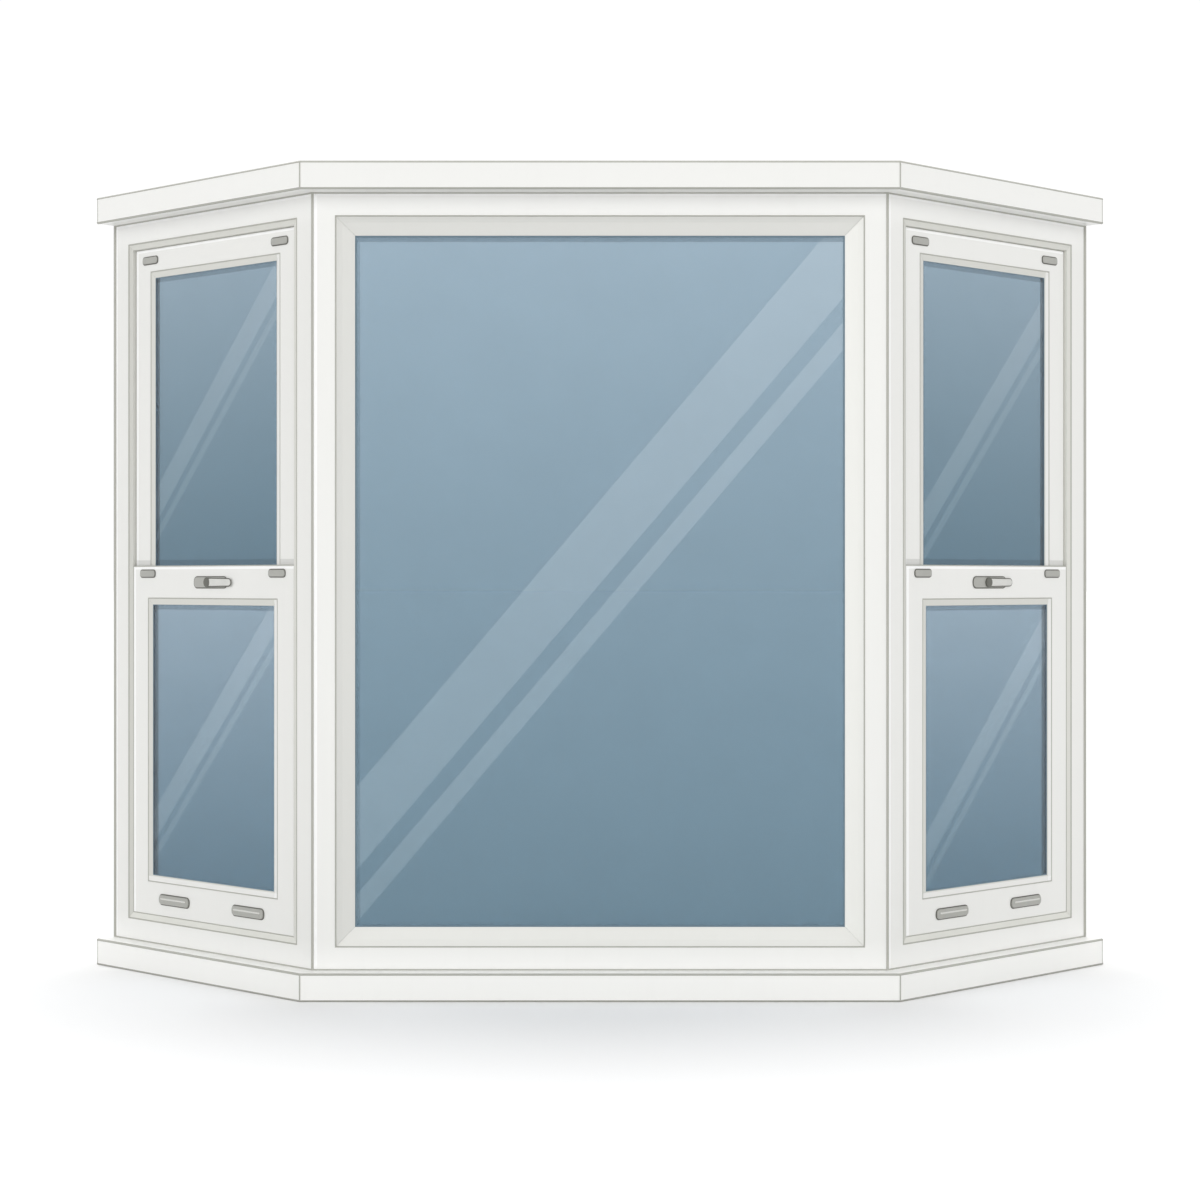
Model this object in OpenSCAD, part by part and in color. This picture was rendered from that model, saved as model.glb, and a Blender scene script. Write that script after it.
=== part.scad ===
// Three-sided bay window: a wide fixed light between two vertical sliding sash
// windows, under a head board and over a seat board that both run back through
// the wall.
//
// Frame: X to the right as seen from outside, Y into the building, Z up.
// Origin on the underside of the seat board, on the outer plane of the wall,
// midway between the two sides. Millimetres.

/* [Bay] */
// Width of the centre face, from bay corner to bay corner
center_w = 1110; // [900:10:1800]
// Width of each side face, from the bay corner back to the wall
side_w = 662; // [520:2:900]
// Height of the window frames, between the two boards
frame_h = 1500; // [1100:10:2000]
// Angle by which each side face turns back from the centre face, in degrees
bay_angle = 45; // [30:1:50]
// Depth of the wall opening that the boards and jambs run through
wall_depth = 110; // [90:5:400]

/* [Boards] */
// Thickness of the seat board and of the head board
board_t = 54; // [40:1:80]
// How far the boards stand out in front of the frames
overhang = 46; // [30:1:90]
// Thickness of the mitred fascias along the boards' front edges
fascia_t = 18; // [10:1:24]

/* [Frames] */
// Depth of all three frames, from outer face to room face
frame_depth = 70; // [60:1:90]
// Visible width of the centre frame
center_face_w = 45; // [40:0.5:80]
// Visible width of the side frames' upright members
side_stile_w = 48.5; // [46:0.5:80]
// Visible height of the side frames' head and sill members
side_rail_w = 45; // [35:0.5:80]
// Thickness of the frames' outer flange, which is mitred at the bay corners
flange_t = 18; // [8:1:24]
// Thickness of the stop that closes the sash tracks on the room side
stop_t = 8; // [4:1:12]
// Small bevel on the edges of frames, sashes and boards
edge_c = 1.6; // [0.5:0.1:2]

/* [Corner posts] */
// Width of the post where it passes between the frames' room-side corners
post_neck = 14; // [8:1:24]
// How far the post's inner cover strip laps over each frame
cover_lap = 16; // [8:1:30]
// Thickness of the post's inner cover strip
cover_t = 6; // [3:1:10]

/* [Centre glazing] */
// Width of the glazing bead's steep outer facet
bead_steep_w = 11.6; // [8:0.2:16]
// Depth that the steep facet falls
bead_steep_d = 8; // [4:0.5:10]
// Width of the glazing bead's shallow inner facet
bead_slope_w = 24; // [12:0.5:30]
// Depth that the shallow facet falls
bead_slope_d = 11; // [4:0.5:12]
// Thickness of each pane of the centre glass
center_pane_t = 4; // [3:0.5:6]
// Space between the centre panes
center_cavity = 12; // [6:1:16]

/* [Sashes] */
// Thickness of a sash
sash_t = 18; // [16:0.5:22]
// Depth of the front sash's face behind the frame face
sash_set = 3.5; // [3:0.5:6]
// Width of a sash's upright stiles
sash_stile_w = 52.5; // [35:0.5:70]
// Height of the upper sash's top rail
top_rail_h = 48; // [35:0.5:80]
// Height of the rails that meet at mid-height
meeting_rail_h = 66; // [44:1:90]
// Height of the lower sash's top edge above the frame's mid-height
meeting_up = 31; // [20:1:44]
// Height of the lip on the lower sash that laps in front of the upper sash
lip_h = 20; // [12:1:30]
// Thickness of that lip
lip_t = 5; // [3:0.5:8]
// Height of the lower sash's bottom rail
bottom_rail_h = 69; // [50:1:110]
// Thickness of the track liner between frame and sashes
liner_t = 12; // [8:0.5:16]
// Width of the glazing beads in the sashes
sash_bead_w = 13; // [8:0.5:18]
// Thickness of each pane of sash glass
sash_pane_t = 3; // [2:0.5:3]
// Space between the panes of sash glass
sash_cavity = 5; // [4:0.5:6]

/* [Fittings] */
// Length of a tilt latch
latch_l = 53; // [40:1:70]
// Height of a tilt latch
latch_h = 15; // [10:1:20]
// Gap from the sash's side edge to a tilt latch
latch_in = 26; // [10:1:40]
// Drop from the upper sash's top edge to the middle of its latches
upper_latch_drop = 24; // [12:1:36]
// Drop from the lower sash's top edge to the middle of its latches
lower_latch_drop = 15; // [10:1:30]
// Length of the sash lock's base plate
lock_l = 111; // [80:1:130]
// Height of the sash lock's base plate
lock_h = 24; // [18:1:30]
// Reach of the lock's lever from its pivot to its tip
lever_l = 79; // [50:1:100]
// Height of the lock's lever
lever_h = 17; // [10:1:20]
// Length of a finger lift
lift_l = 105; // [70:1:130]
// Height of a finger lift
lift_h = 22; // [16:1:30]
// Distance of each finger lift from the middle of the sash
lift_out = 124; // [80:1:160]

/* [Wall fixings] */
// Radius of the fixing holes through the wall jambs
fixing_r = 4.1; // [3:0.1:6]
// Height between the outer pair of fixing holes
fixing_outer = 1200; // [700:10:1600]
// Height between the inner pair of fixing holes
fixing_inner = 400; // [200:10:600]

/* [Hidden] */
$fn = 48;

// Clearances
joint_gap = 0.3;   // hairline joint between pieces that meet at the bay's angles
mitre_gap = 0.4;   // hairline joint at the mitres of beads and liners
sash_gap = 1;      // between a sash and its track liner
nest_gap = 1.5;    // between the two sashes where they nest
glass_gap = 4;     // between the edge of a glass unit and its rebate
over = 1;          // how far a cut runs past the face that it cuts

// Plan of the right-hand half; the left-hand half is its mirror image.
corner_x = center_w / 2;
projection = side_w * sin(bay_angle);
wall_x = corner_x + side_w * cos(bay_angle);
mitre_slope = tan(bay_angle / 2);
body_set = frame_depth * mitre_slope + post_neck / 2;
top_z = board_t + frame_h;
mid_z = frame_h / 2;

// A point on the centre frame's plan, s in from the right corner and d behind the face
function on_center(s, d) = [corner_x - s, d - projection];
// A point on the right side's plan, u out from the corner and d behind the face
function on_side(u, d) = [
    corner_x + u * cos(bay_angle) - d * sin(bay_angle),
    -projection + u * sin(bay_angle) + d * cos(bay_angle)
];
// The point of the corner's mitre line at depth d, which is negative in front
function on_mitre(d) = on_center(d * mitre_slope, d);
// The same outline on the left-hand half
function to_left(points) = [for (i = [len(points) - 1 : -1 : 0]) [-points[i][0], points[i][1]]];

// Centre glazing, as depths behind the frame's face
bead_step = 0.8;                   // the bead starts this far behind the face
bead_nose = 2;                     // thickness of the bead at the glass
center_bead_w = bead_steep_w + bead_slope_w;
center_bead_d = bead_step + bead_steep_d + bead_slope_d + bead_nose;
center_gasket_t = 2;
center_gasket_lip = 3;             // how far the gasket shows past the bead
center_gasket_w = 12;
center_glass_d = center_bead_d + center_gasket_t;
center_unit_t = 2 * center_pane_t + center_cavity;
center_stop_d = center_glass_d + center_unit_t + center_gasket_t;
center_stop_w = center_bead_w - 8; // the room-side leg is a little narrower than the bead
center_open_w = center_w - 2 * center_face_w;
center_open_h = frame_h - 2 * center_face_w;
spacer_in = 2;                     // spacer bar in from the edge of the glass
spacer_w = 14;

// Side units, in the side's own frame: X along the face from the corner, Y depth, Z up
side_end = side_w - joint_gap;
side_top = frame_h - joint_gap;
track_w = side_w - 2 * side_stile_w;
track_h = frame_h - 2 * side_rail_w;
track_d = frame_depth - stop_t;
liner_step = 0.8;                  // the liner starts this far behind the frame's face
liner_fall = 2.4;                  // depth that the liner's front bevel falls
sash_x = side_stile_w + liner_t + sash_gap;
sash_w = side_w - 2 * sash_x;
sash_low_z = side_rail_w + liner_t + sash_gap;
sash_top_z = frame_h - sash_low_z;
lower_top_z = mid_z + meeting_up;
upper_low_z = lower_top_z - meeting_rail_h;
upper_set = sash_set + lip_t + nest_gap;
upper_sash_h = sash_top_z - upper_low_z;
lower_sash_h = lower_top_z - sash_low_z;
upper_bottom_rail_h = meeting_rail_h - sash_bead_w - 1; // hidden by the lower sash's top rail
nest_h = meeting_rail_h - lip_h + nest_gap; // the upper sash is cut back up to this height
nest_d = sash_t - lip_t;

// Sash glazing, as depths behind the sash's face
sash_bead_step = 0.6;
sash_bead_fall = 2;
sash_bead_nose = 0.6;
sash_bead_d = sash_bead_step + sash_bead_fall + sash_bead_nose;
sash_gasket_t = 0.8;
sash_gasket_lip = 1.5;
sash_gasket_w = 6;
sash_glass_d = sash_bead_d + sash_gasket_t;
sash_unit_t = 2 * sash_pane_t + sash_cavity;
sash_stop_d = sash_glass_d + sash_unit_t;
sash_stop_w = sash_bead_w - 2;
sash_spacer_w = 7;

// Fittings
latch_t = 3;
latch_r = 4;
plate_step = 1;                    // fittings' upper layer, in from the lower one
lock_base_t = 4;
lock_r = 6;
pivot_out = 7;                     // the pivot's distance from the middle of the plate
pivot_r = 6;
pivot_gap = 0.3;
lever_t = 3;
lever_r = 6;
lock_drop = meeting_up + 2;        // from the lower sash's top edge to the lock's middle
lift_t = 5;
lift_r = 6;
scoop_t = 2;                       // depth of the finger scoop in a lift

upvc_white = "#f4f4f1";
upvc_shade = "#e9e9e6";
liner_grey = "#d9d9d5";
rubber_grey = "#62777f";
zinc_grey = "#b0b0aa";
lever_grey = "#d7d7d2";
spacer_metal = "#c4c8ca";
glass_blue = [0.50, 0.62, 0.68, 0.5];

// ---------------------------------------------------------------- shared shapes

// Four 45 degree cuts along the front edges of a w by h rectangle at y = 0
module edge_bevels(w, h) {
    s = edge_c * sqrt(2);
    for (z = [0, h])
        translate([w / 2, 0, z]) rotate([45, 0, 0]) cube([w + 2 * over, s, s], center = true);
    for (x = [0, w])
        translate([x, 0, h / 2]) rotate([0, 0, 45]) cube([s, s, h + 2 * over], center = true);
}

// A funnel that bevels the front edges of a w by h opening at y = 0
module opening_bevel(w, h) {
    out = edge_c + over;
    in = edge_c;
    deep = 2 * edge_c;
    intersection() {
        translate([0, 0, -out]) linear_extrude(h + 2 * out)
            polygon([[-out, -over], [w + out, -over], [w - in, deep], [in, deep]]);
        translate([-out, 0, 0]) rotate([90, 0, 90]) linear_extrude(w + 2 * out)
            polygon([[-over, -out], [-over, h + out], [deep, h - in], [deep, in]]);
    }
}

// One mitred stick of a ring: its profile's first number runs in from the ring's outer edge
module mitred_stick(length, profile, reach) {
    g = mitre_gap / 2;
    intersection() {
        rotate([90, 0, 90]) linear_extrude(length)
            polygon([for (p = profile) [p[1], p[0]]]);
        translate([0, frame_depth, 0]) rotate([90, 0, 0]) linear_extrude(2 * frame_depth)
            polygon([[g, 0], [length - g, 0], [length - g - reach, reach], [g + reach, reach]]);
    }
}

// Four mitred sticks round the inside of a w by h opening
module mitred_ring(w, h, profile, reach) {
    mitred_stick(w, profile, reach);
    translate([w, 0, 0]) rotate([0, -90, 0]) mitred_stick(h, profile, reach);
    translate([w, 0, h]) rotate([0, 180, 0]) mitred_stick(w, profile, reach);
    translate([0, 0, h]) rotate([0, 90, 0]) mitred_stick(h, profile, reach);
}

// A plain rectangular ring, member wide and t deep, round the inside of a w by h opening
module flat_ring(w, h, member, t) {
    difference() {
        cube([w, t, h]);
        translate([member, -over, member])
            cube([w - 2 * member, t + 2 * over, h - 2 * member]);
    }
}

// Two panes with a space between them, each in from the w by h rebate by glass_gap
module glass_unit(w, h, pane_t, cavity) {
    for (y = [0, pane_t + cavity])
        translate([glass_gap, y, glass_gap])
            cube([w - 2 * glass_gap, pane_t, h - 2 * glass_gap]);
}

module spacer_ring(w, h, member, cavity) {
    inset = glass_gap + spacer_in;
    translate([inset, 0, inset]) flat_ring(w - 2 * inset, h - 2 * inset, member, cavity);
}

module rounded_rect(w, h, r) {
    translate([-w / 2, r - h / 2]) square([w, h - 2 * r]);
    translate([r - w / 2, -h / 2]) square([w - 2 * r, h]);
    for (x = [-1, 1], y = [-1, 1])
        translate([x * (w / 2 - r), y * (h / 2 - r)]) circle(r);
}

// A rounded plate lying against y = 0 and standing t out towards -Y, in two layers
module rounded_plate(w, h, r, t) {
    rotate([90, 0, 0]) {
        linear_extrude(t / 2) rounded_rect(w, h, r);
        linear_extrude(t) rounded_rect(w - 2 * plate_step, h - 2 * plate_step, r - plate_step);
    }
}

// Moves a side unit's own frame to the right side, or to the left side as its mirror image
module at_side(left) {
    mirror([left ? 1 : 0, 0, 0])
        translate([corner_x, -projection, board_t])
            rotate([0, 0, bay_angle]) children();
}

// ---------------------------------------------------------------- boards

// Plan of a board whose front edge stands out in front of the frames
function board_half(out) = [
    on_mitre(-out), on_side(side_w, -out), on_side(side_w, 0), [wall_x, wall_depth]
];

module board_core() {
    half = board_half(overhang - fascia_t);
    linear_extrude(board_t) polygon(concat(half, to_left(half)));
}

module fascia_center() {
    half = [on_mitre(-overhang + fascia_t), on_mitre(-overhang)];
    front_x = on_mitre(-overhang)[0];
    difference() {
        linear_extrude(board_t) polygon(concat(to_left(half), half));
        translate([-front_x, -projection - overhang, 0]) edge_bevels(2 * front_x, board_t);
    }
}

module fascia_side(left) {
    inner = -overhang + fascia_t;
    front_u = -overhang * mitre_slope;
    mirror([left ? 1 : 0, 0, 0])
        difference() {
            linear_extrude(board_t)
                polygon([on_mitre(inner), on_mitre(-overhang),
                         on_side(side_w, -overhang), on_side(side_w, inner)]);
            translate([corner_x, -projection, 0]) rotate([0, 0, bay_angle])
                translate([front_u, -overhang, 0]) edge_bevels(side_w - front_u, board_t);
        }
}

module seat_board() { color(upvc_white) board_core(); }
module sill_fascia_left() { color(upvc_white) fascia_side(true); }
module sill_fascia_center() { color(upvc_white) fascia_center(); }
module sill_fascia_right() { color(upvc_white) fascia_side(false); }
module head_board() { color(upvc_white) translate([0, 0, top_z]) board_core(); }
module head_fascia_left() { color(upvc_white) translate([0, 0, top_z]) fascia_side(true); }
module head_fascia_center() { color(upvc_white) translate([0, 0, top_z]) fascia_center(); }
module head_fascia_right() { color(upvc_white) translate([0, 0, top_z]) fascia_side(false); }

// ---------------------------------------------------------------- posts and jambs

// Fills the wedge behind the mitred flanges and covers the inner corner
module corner_post(left) {
    back = flange_t + joint_gap;
    room = frame_depth + joint_gap;
    s = body_set - joint_gap;
    lap = body_set + cover_lap;
    color(upvc_white)
        mirror([left ? 1 : 0, 0, 0])
            translate([0, 0, board_t]) linear_extrude(frame_h)
                polygon([
                    on_mitre(back), on_center(s, back), on_center(s, room),
                    on_center(lap, room), on_center(lap, room + cover_t),
                    on_mitre(room + cover_t),
                    on_side(lap, room + cover_t), on_side(lap, room),
                    on_side(s, room), on_side(s, back)
                ]);
}

// Closes the end of the bay inside the wall opening, and takes the wall fixings
module wall_jamb(left) {
    inner_x = on_side(side_w, frame_depth)[0];
    bore_y = (on_side(side_w, frame_depth)[1] + wall_depth) / 2;
    color(upvc_white)
        mirror([left ? 1 : 0, 0, 0])
            difference() {
                translate([0, 0, board_t]) linear_extrude(frame_h)
                    polygon([on_side(side_w, 0), [wall_x, wall_depth],
                             [inner_x, wall_depth], on_side(side_w, frame_depth)]);
                for (z = [-fixing_outer, -fixing_inner, fixing_inner, fixing_outer])
                    translate([inner_x - over, bore_y, board_t + mid_z + z / 2])
                        rotate([0, 90, 0])
                            cylinder(r = fixing_r, h = wall_x - inner_x + 2 * over);
            }
}

module corner_post_left() { corner_post(true); }
module corner_post_right() { corner_post(false); }
module wall_jamb_left() { wall_jamb(true); }
module wall_jamb_right() { wall_jamb(false); }

// ---------------------------------------------------------------- centre window

// Half of the centre frame's plan: a mitred flange with a square-ended body behind it
function center_half() =
    let (g = joint_gap / 2 / cos(bay_angle / 2))
    [
        [corner_x - g, 0],
        [corner_x - g - flange_t * mitre_slope, flange_t],
        [corner_x - body_set, flange_t],
        [corner_x - body_set, frame_depth]
    ];

// Moves a shape made round the centre frame's opening to its place in the bay
module at_center_opening() {
    translate([-center_open_w / 2, -projection, board_t + center_face_w]) children();
}

module center_frame() {
    half = center_half();
    stop = center_stop_w;
    color(upvc_white)
        difference() {
            translate([0, -projection, board_t]) linear_extrude(frame_h)
                polygon(concat(to_left(half), half));
            at_center_opening() {
                translate([0, -over, 0])
                    cube([center_open_w, center_stop_d + over, center_open_h]);
                translate([stop, 0, stop])
                    cube([center_open_w - 2 * stop, frame_depth + over,
                          center_open_h - 2 * stop]);
                opening_bevel(center_open_w, center_open_h);
            }
            translate([-corner_x, -projection, board_t]) edge_bevels(center_w, frame_h);
        }
}

module center_glazing_beads() {
    color(upvc_shade)
        at_center_opening()
            mitred_ring(center_open_w, center_open_h, [
                [0, bead_step],
                [bead_steep_w, bead_step + bead_steep_d],
                [center_bead_w, center_bead_d - bead_nose],
                [center_bead_w, center_bead_d],
                [0, center_bead_d]
            ], center_bead_w + over);
}

module center_glass() {
    color(glass_blue)
        at_center_opening() translate([0, center_glass_d, 0])
            glass_unit(center_open_w, center_open_h, center_pane_t, center_cavity);
}

module center_spacer() {
    color(spacer_metal)
        at_center_opening() translate([0, center_glass_d + center_pane_t, 0])
            spacer_ring(center_open_w, center_open_h, spacer_w, center_cavity);
}

// One gasket between bead and glass, one between glass and stop
module center_gaskets() {
    front_in = center_bead_w + center_gasket_lip - center_gasket_w;
    back_in = center_stop_w + center_gasket_lip - center_gasket_w;
    color(rubber_grey)
        at_center_opening() {
            translate([front_in, center_bead_d, front_in])
                flat_ring(center_open_w - 2 * front_in, center_open_h - 2 * front_in,
                          center_gasket_w, center_gasket_t);
            translate([back_in, center_stop_d - center_gasket_t, back_in])
                flat_ring(center_open_w - 2 * back_in, center_open_h - 2 * back_in,
                          center_gasket_w, center_gasket_t);
        }
}

// ---------------------------------------------------------------- side windows

module side_frame(left) {
    g = joint_gap / 2 / cos(bay_angle / 2);
    color(upvc_shade)
        at_side(left)
            difference() {
                linear_extrude(side_top)
                    polygon([
                        [g, 0], [side_end, 0], [side_end, frame_depth],
                        [body_set, frame_depth], [body_set, flange_t],
                        [g + flange_t * mitre_slope, flange_t]
                    ]);
                translate([side_stile_w, -over, side_rail_w])
                    cube([track_w, track_d + over, track_h]);
                translate([side_stile_w + liner_t, 0, side_rail_w + liner_t])
                    cube([track_w - 2 * liner_t, frame_depth + over, track_h - 2 * liner_t]);
                translate([side_stile_w, 0, side_rail_w]) opening_bevel(track_w, track_h);
                edge_bevels(side_end, side_top);
            }
}

// Four mitred liners that the sashes slide in, bevelled at the front
module track_liners(left) {
    color(liner_grey)
        at_side(left)
            translate([side_stile_w, 0, side_rail_w])
                mitred_ring(track_w, track_h, [
                    [0, liner_step], [liner_t, liner_step + liner_fall],
                    [liner_t, track_d], [0, track_d]
                ], liner_t + over);
}

// A sash: a frame with a glazing rebate open to the front
module sash(h, bottom_h, top_h) {
    open_w = sash_w - 2 * sash_stile_w;
    open_h = h - bottom_h - top_h;
    difference() {
        cube([sash_w, sash_t, h]);
        translate([sash_stile_w, 0, bottom_h]) {
            translate([0, -over, 0]) cube([open_w, sash_stop_d + over, open_h]);
            translate([sash_stop_w, 0, sash_stop_w])
                cube([open_w - 2 * sash_stop_w, sash_t + over, open_h - 2 * sash_stop_w]);
            opening_bevel(open_w, open_h);
        }
        edge_bevels(sash_w, h);
    }
}

module at_upper_sash(left) { at_side(left) translate([sash_x, upper_set, upper_low_z]) children(); }
module at_lower_sash(left) { at_side(left) translate([sash_x, sash_set, sash_low_z]) children(); }

// Shapes that fill a sash's opening, made by shape number: 0 beads, 1 glass, 2 spacer, 3 gasket
module in_sash(h, bottom_h, top_h, shape) {
    open_w = sash_w - 2 * sash_stile_w;
    open_h = h - bottom_h - top_h;
    gasket_in = sash_bead_w + sash_gasket_lip - sash_gasket_w;
    translate([sash_stile_w, 0, bottom_h]) {
        if (shape == 0)
            mitred_ring(open_w, open_h, [
                [0, sash_bead_step], [sash_bead_w, sash_bead_step + sash_bead_fall],
                [sash_bead_w, sash_bead_d], [0, sash_bead_d]
            ], sash_bead_w + over);
        if (shape == 1)
            translate([0, sash_glass_d, 0])
                glass_unit(open_w, open_h, sash_pane_t, sash_cavity);
        if (shape == 2)
            translate([0, sash_glass_d + sash_pane_t, 0])
                spacer_ring(open_w, open_h, sash_spacer_w, sash_cavity);
        if (shape == 3)
            translate([gasket_in, sash_bead_d, gasket_in])
                flat_ring(open_w - 2 * gasket_in, open_h - 2 * gasket_in,
                          sash_gasket_w, sash_gasket_t);
    }
}

module in_upper_sash(left, shape) {
    at_upper_sash(left) in_sash(upper_sash_h, upper_bottom_rail_h, top_rail_h, shape);
}
module in_lower_sash(left, shape) {
    at_lower_sash(left) in_sash(lower_sash_h, bottom_rail_h, meeting_rail_h, shape);
}

// The upper sash's bottom rail is cut back to a tongue behind the lower sash's meeting rail
module upper_sash(left) {
    color(upvc_shade)
        at_upper_sash(left)
            difference() {
                sash(upper_sash_h, upper_bottom_rail_h, top_rail_h);
                translate([-over, -over, -over])
                    cube([sash_w + 2 * over, nest_d + over, nest_h + over]);
            }
}
// The lower sash's meeting rail ends in a lip in front of the upper sash
module lower_sash(left) {
    color(upvc_shade)
        at_lower_sash(left)
            difference() {
                sash(lower_sash_h, bottom_rail_h, meeting_rail_h);
                translate([-over, lip_t, lower_sash_h - lip_h])
                    cube([sash_w + 2 * over, sash_t, lip_h + over]);
            }
}
module sash_beads(left) {
    color(upvc_shade) { in_upper_sash(left, 0); in_lower_sash(left, 0); }
}
module upper_glass(left) { color(glass_blue) in_upper_sash(left, 1); }
module lower_glass(left) { color(glass_blue) in_lower_sash(left, 1); }
module spacers(left) {
    color(spacer_metal) { in_upper_sash(left, 2); in_lower_sash(left, 2); }
}
module gaskets(left) {
    color(rubber_grey) { in_upper_sash(left, 3); in_lower_sash(left, 3); }
}

// ---------------------------------------------------------------- fittings

// Two on each sash, near its upper corners
module tilt_latches(left) {
    color(zinc_grey)
        for (x = [latch_in + latch_l / 2, sash_w - latch_in - latch_l / 2]) {
            at_upper_sash(left) translate([x, 0, upper_sash_h - upper_latch_drop])
                rounded_plate(latch_l, latch_h, latch_r, latch_t);
            at_lower_sash(left) translate([x, 0, lower_sash_h - lower_latch_drop])
                rounded_plate(latch_l, latch_h, latch_r, latch_t);
        }
}

module finger_lifts(left) {
    color(zinc_grey)
        for (x = [-lift_out, lift_out])
            at_lower_sash(left) translate([sash_w / 2 + x, 0, bottom_rail_h / 2])
                difference() {
                    rounded_plate(lift_l, lift_h, lift_r, lift_t);
                    translate([0, scoop_t - lift_t, -lift_h / 8]) rotate([90, 0, 0])
                        linear_extrude(lift_t) rounded_rect(lift_l - lift_h, lift_h / 3, lift_h / 7);
                }
}

// Both locks turn the same way, so as seen from outside both levers point right
module at_lock(left) {
    turn = left ? -1 : 1;
    at_lower_sash(left) translate([sash_w / 2, 0, lower_sash_h - lock_drop])
        mirror([turn < 0 ? 1 : 0, 0, 0]) children();
}

module lock_base(left) {
    color(zinc_grey)
        at_lock(left) {
            rounded_plate(lock_l, lock_h, lock_r, lock_base_t);
            translate([-pivot_out, 0, 0]) rotate([90, 0, 0])
                cylinder(r = pivot_r, h = lock_base_t + pivot_gap + lever_t);
        }
}

module lock_lever(left) {
    tail = lever_h / 2;
    color(lever_grey)
        at_lock(left)
            translate([-pivot_out, -lock_base_t - pivot_gap, 0]) rotate([90, 0, 0])
                linear_extrude(lever_t) difference() {
                    translate([(lever_l - tail) / 2, 0])
                        rounded_rect(lever_l + tail, lever_h, lever_r);
                    circle(pivot_r + pivot_gap);
                }
}

module left_frame() { side_frame(true); }
module left_track_liners() { track_liners(true); }
module left_upper_sash() { upper_sash(true); }
module left_lower_sash() { lower_sash(true); }
module left_sash_beads() { sash_beads(true); }
module left_upper_glass() { upper_glass(true); }
module left_lower_glass() { lower_glass(true); }
module left_spacers() { spacers(true); }
module left_gaskets() { gaskets(true); }
module left_lock_base() { lock_base(true); }
module left_lock_lever() { lock_lever(true); }
module left_tilt_latches() { tilt_latches(true); }
module left_finger_lifts() { finger_lifts(true); }

module right_frame() { side_frame(false); }
module right_track_liners() { track_liners(false); }
module right_upper_sash() { upper_sash(false); }
module right_lower_sash() { lower_sash(false); }
module right_sash_beads() { sash_beads(false); }
module right_upper_glass() { upper_glass(false); }
module right_lower_glass() { lower_glass(false); }
module right_spacers() { spacers(false); }
module right_gaskets() { gaskets(false); }
module right_lock_base() { lock_base(false); }
module right_lock_lever() { lock_lever(false); }
module right_tilt_latches() { tilt_latches(false); }
module right_finger_lifts() { finger_lifts(false); }

seat_board();
sill_fascia_left();
sill_fascia_center();
sill_fascia_right();
head_board();
head_fascia_left();
head_fascia_center();
head_fascia_right();
corner_post_left();
corner_post_right();
wall_jamb_left();
wall_jamb_right();
center_frame();
center_glazing_beads();
center_glass();
center_spacer();
center_gaskets();
left_frame();
left_track_liners();
left_upper_sash();
left_lower_sash();
left_sash_beads();
left_upper_glass();
left_lower_glass();
left_spacers();
left_gaskets();
left_lock_base();
left_lock_lever();
left_tilt_latches();
left_finger_lifts();
right_frame();
right_track_liners();
right_upper_sash();
right_lower_sash();
right_sash_beads();
right_upper_glass();
right_lower_glass();
right_spacers();
right_gaskets();
right_lock_base();
right_lock_lever();
right_tilt_latches();
right_finger_lifts();
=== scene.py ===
import math

import bpy
import numpy as np
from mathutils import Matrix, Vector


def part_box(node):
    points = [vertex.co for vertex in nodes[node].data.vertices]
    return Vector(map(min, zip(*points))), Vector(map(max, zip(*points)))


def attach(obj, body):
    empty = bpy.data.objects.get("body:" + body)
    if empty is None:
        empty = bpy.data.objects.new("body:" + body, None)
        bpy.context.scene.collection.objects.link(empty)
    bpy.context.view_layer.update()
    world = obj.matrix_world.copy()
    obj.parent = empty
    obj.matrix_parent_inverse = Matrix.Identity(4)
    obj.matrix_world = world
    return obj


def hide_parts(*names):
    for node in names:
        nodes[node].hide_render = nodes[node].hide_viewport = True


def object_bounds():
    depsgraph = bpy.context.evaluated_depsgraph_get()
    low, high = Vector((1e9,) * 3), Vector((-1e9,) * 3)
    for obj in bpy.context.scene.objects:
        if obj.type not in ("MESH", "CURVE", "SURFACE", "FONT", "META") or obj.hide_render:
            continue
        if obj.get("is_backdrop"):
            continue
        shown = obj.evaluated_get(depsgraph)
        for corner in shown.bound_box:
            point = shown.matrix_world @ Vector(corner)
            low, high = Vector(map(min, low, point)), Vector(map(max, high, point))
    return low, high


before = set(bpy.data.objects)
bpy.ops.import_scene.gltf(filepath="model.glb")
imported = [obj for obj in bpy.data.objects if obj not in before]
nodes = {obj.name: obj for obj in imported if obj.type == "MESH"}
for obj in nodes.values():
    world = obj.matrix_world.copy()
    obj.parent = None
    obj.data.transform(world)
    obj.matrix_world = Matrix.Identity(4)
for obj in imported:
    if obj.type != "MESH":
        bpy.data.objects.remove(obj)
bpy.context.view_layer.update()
scene = bpy.context.scene
print("frame:", len(nodes), "nodes")

# Places taken from the frame's boxes, in metres
bayAngle = math.radians(45)
cosBay, sinBay = math.cos(bayAngle), math.sin(bayAngle)
centerLow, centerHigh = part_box("center_frame")
jambLow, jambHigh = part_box("wall_jamb_right")
faceY = centerLow.y
frameLow, frameHigh = centerLow.z, centerHigh.z
middleZ = (frameLow + frameHigh) / 2
sideWidth = -faceY / sinBay
cornerX = jambHigh.x + faceY / math.tan(bayAngle)
mitreSlope = math.tan(bayAngle / 2)
frameDepth = centerHigh.y - centerLow.y


# A side unit's own frame has X out along its face from the corner, Y into its depth and Z up from
# the frame's foot. The left one is the mirror image of the right one.
def toWorld(points, side):
    p = np.asarray(points, float)
    u, d, z = p[..., 0], p[..., 1], p[..., 2]
    if side == "center":
        return np.stack([u, d + faceY, z + frameLow], -1)
    x = cornerX + u * cosBay - d * sinBay
    y = faceY + u * sinBay + d * cosBay
    return np.stack([x if side == "right" else -x, y, z + frameLow], -1)


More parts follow.
